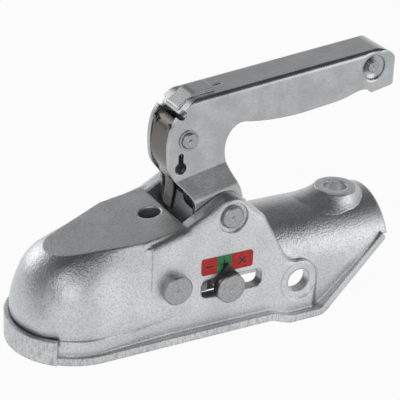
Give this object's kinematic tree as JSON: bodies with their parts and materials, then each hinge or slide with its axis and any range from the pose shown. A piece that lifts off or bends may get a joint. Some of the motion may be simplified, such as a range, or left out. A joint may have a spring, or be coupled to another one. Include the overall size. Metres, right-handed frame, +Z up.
{
  "type": "ball coupling",
  "caption": "Trailer ball coupling: forged zinc-plated head with a drawbar sleeve, a hand lever that draws back the clamping jaw, and a safety catch in the lever's neck.",
  "frame": {"origin": "centre of the tow ball that the socket holds", "axes": "+X back along the drawbar, +Z up, the side with the wear indicator faces -Y"},
  "size_m": [0.2375, 0.0786, 0.1514],
  "materials": {
    "forged_zinc": "zinc plated forging, slightly rough",
    "pressed_zinc": "zinc plated pressed sheet, satin",
    "catch_zinc": "zinc plated sheet, satin",
    "pin_zinc": "zinc plated, smooth",
    "bush_steel": "plain steel, satin",
    "spring_steel": "oiled spring steel",
    "jaw_iron": "cast, greased",
    "pointer_black": "black, satin",
    "label": "printed film, red and green fields"
  },
  "bodies": {
    "head": {"housing": "forged_zinc", "indicator_label": "label", "guide_pin": "pin_zinc", "guide_bush": "bush_steel", "guide_pin_ring": "spring_steel", "pivot_pin": "pin_zinc"},
    "hand_lever": {"lever": "pressed_zinc", "pivot_sleeve": "bush_steel", "lever_spring": "spring_steel", "grip_rivet": "pin_zinc", "grip_spacer": "bush_steel", "catch_pin": "pin_zinc", "catch_washer_near": "pin_zinc", "catch_washer_far": "pin_zinc"},
    "catch": {"safety_catch": "catch_zinc", "catch_spring": "spring_steel"},
    "jaw": {"clamping_jaw": "jaw_iron", "indicator_pin": "pin_zinc", "pointer_washer": "pointer_black", "far_washer": "pin_zinc", "indicator_pin_ring": "spring_steel"}
  },
  "joints": [
    {"name": "lever_hinge", "type": "hinge", "parent": "head", "child": "hand_lever", "pos_m": [0.082, 0, 0.0525], "axis": [0, -1, 0], "range_deg": [0, 20], "stiffness_Nm_per_rad": 4, "springref_deg": -17.19, "deforming": ["lever_spring"]},
    {"name": "catch_hinge", "type": "hinge", "parent": "hand_lever", "child": "catch", "pos_m": [0.0624, 0, 0.0951], "axis": [0, -1, 0], "range_deg": [0, 9], "stiffness_Nm_per_rad": 0.4, "springref_deg": -17.19, "deforming": ["catch_spring"]},
    {"name": "jaw_slide", "type": "slide", "parent": "head", "child": "jaw", "axis": [1, 0, 0], "range_m": [0, 0.015]}
  ],
  "couplings": [
    {"joint": "jaw_slide", "follows": "lever_hinge", "m_per_rad": 0.04297}
  ]
}
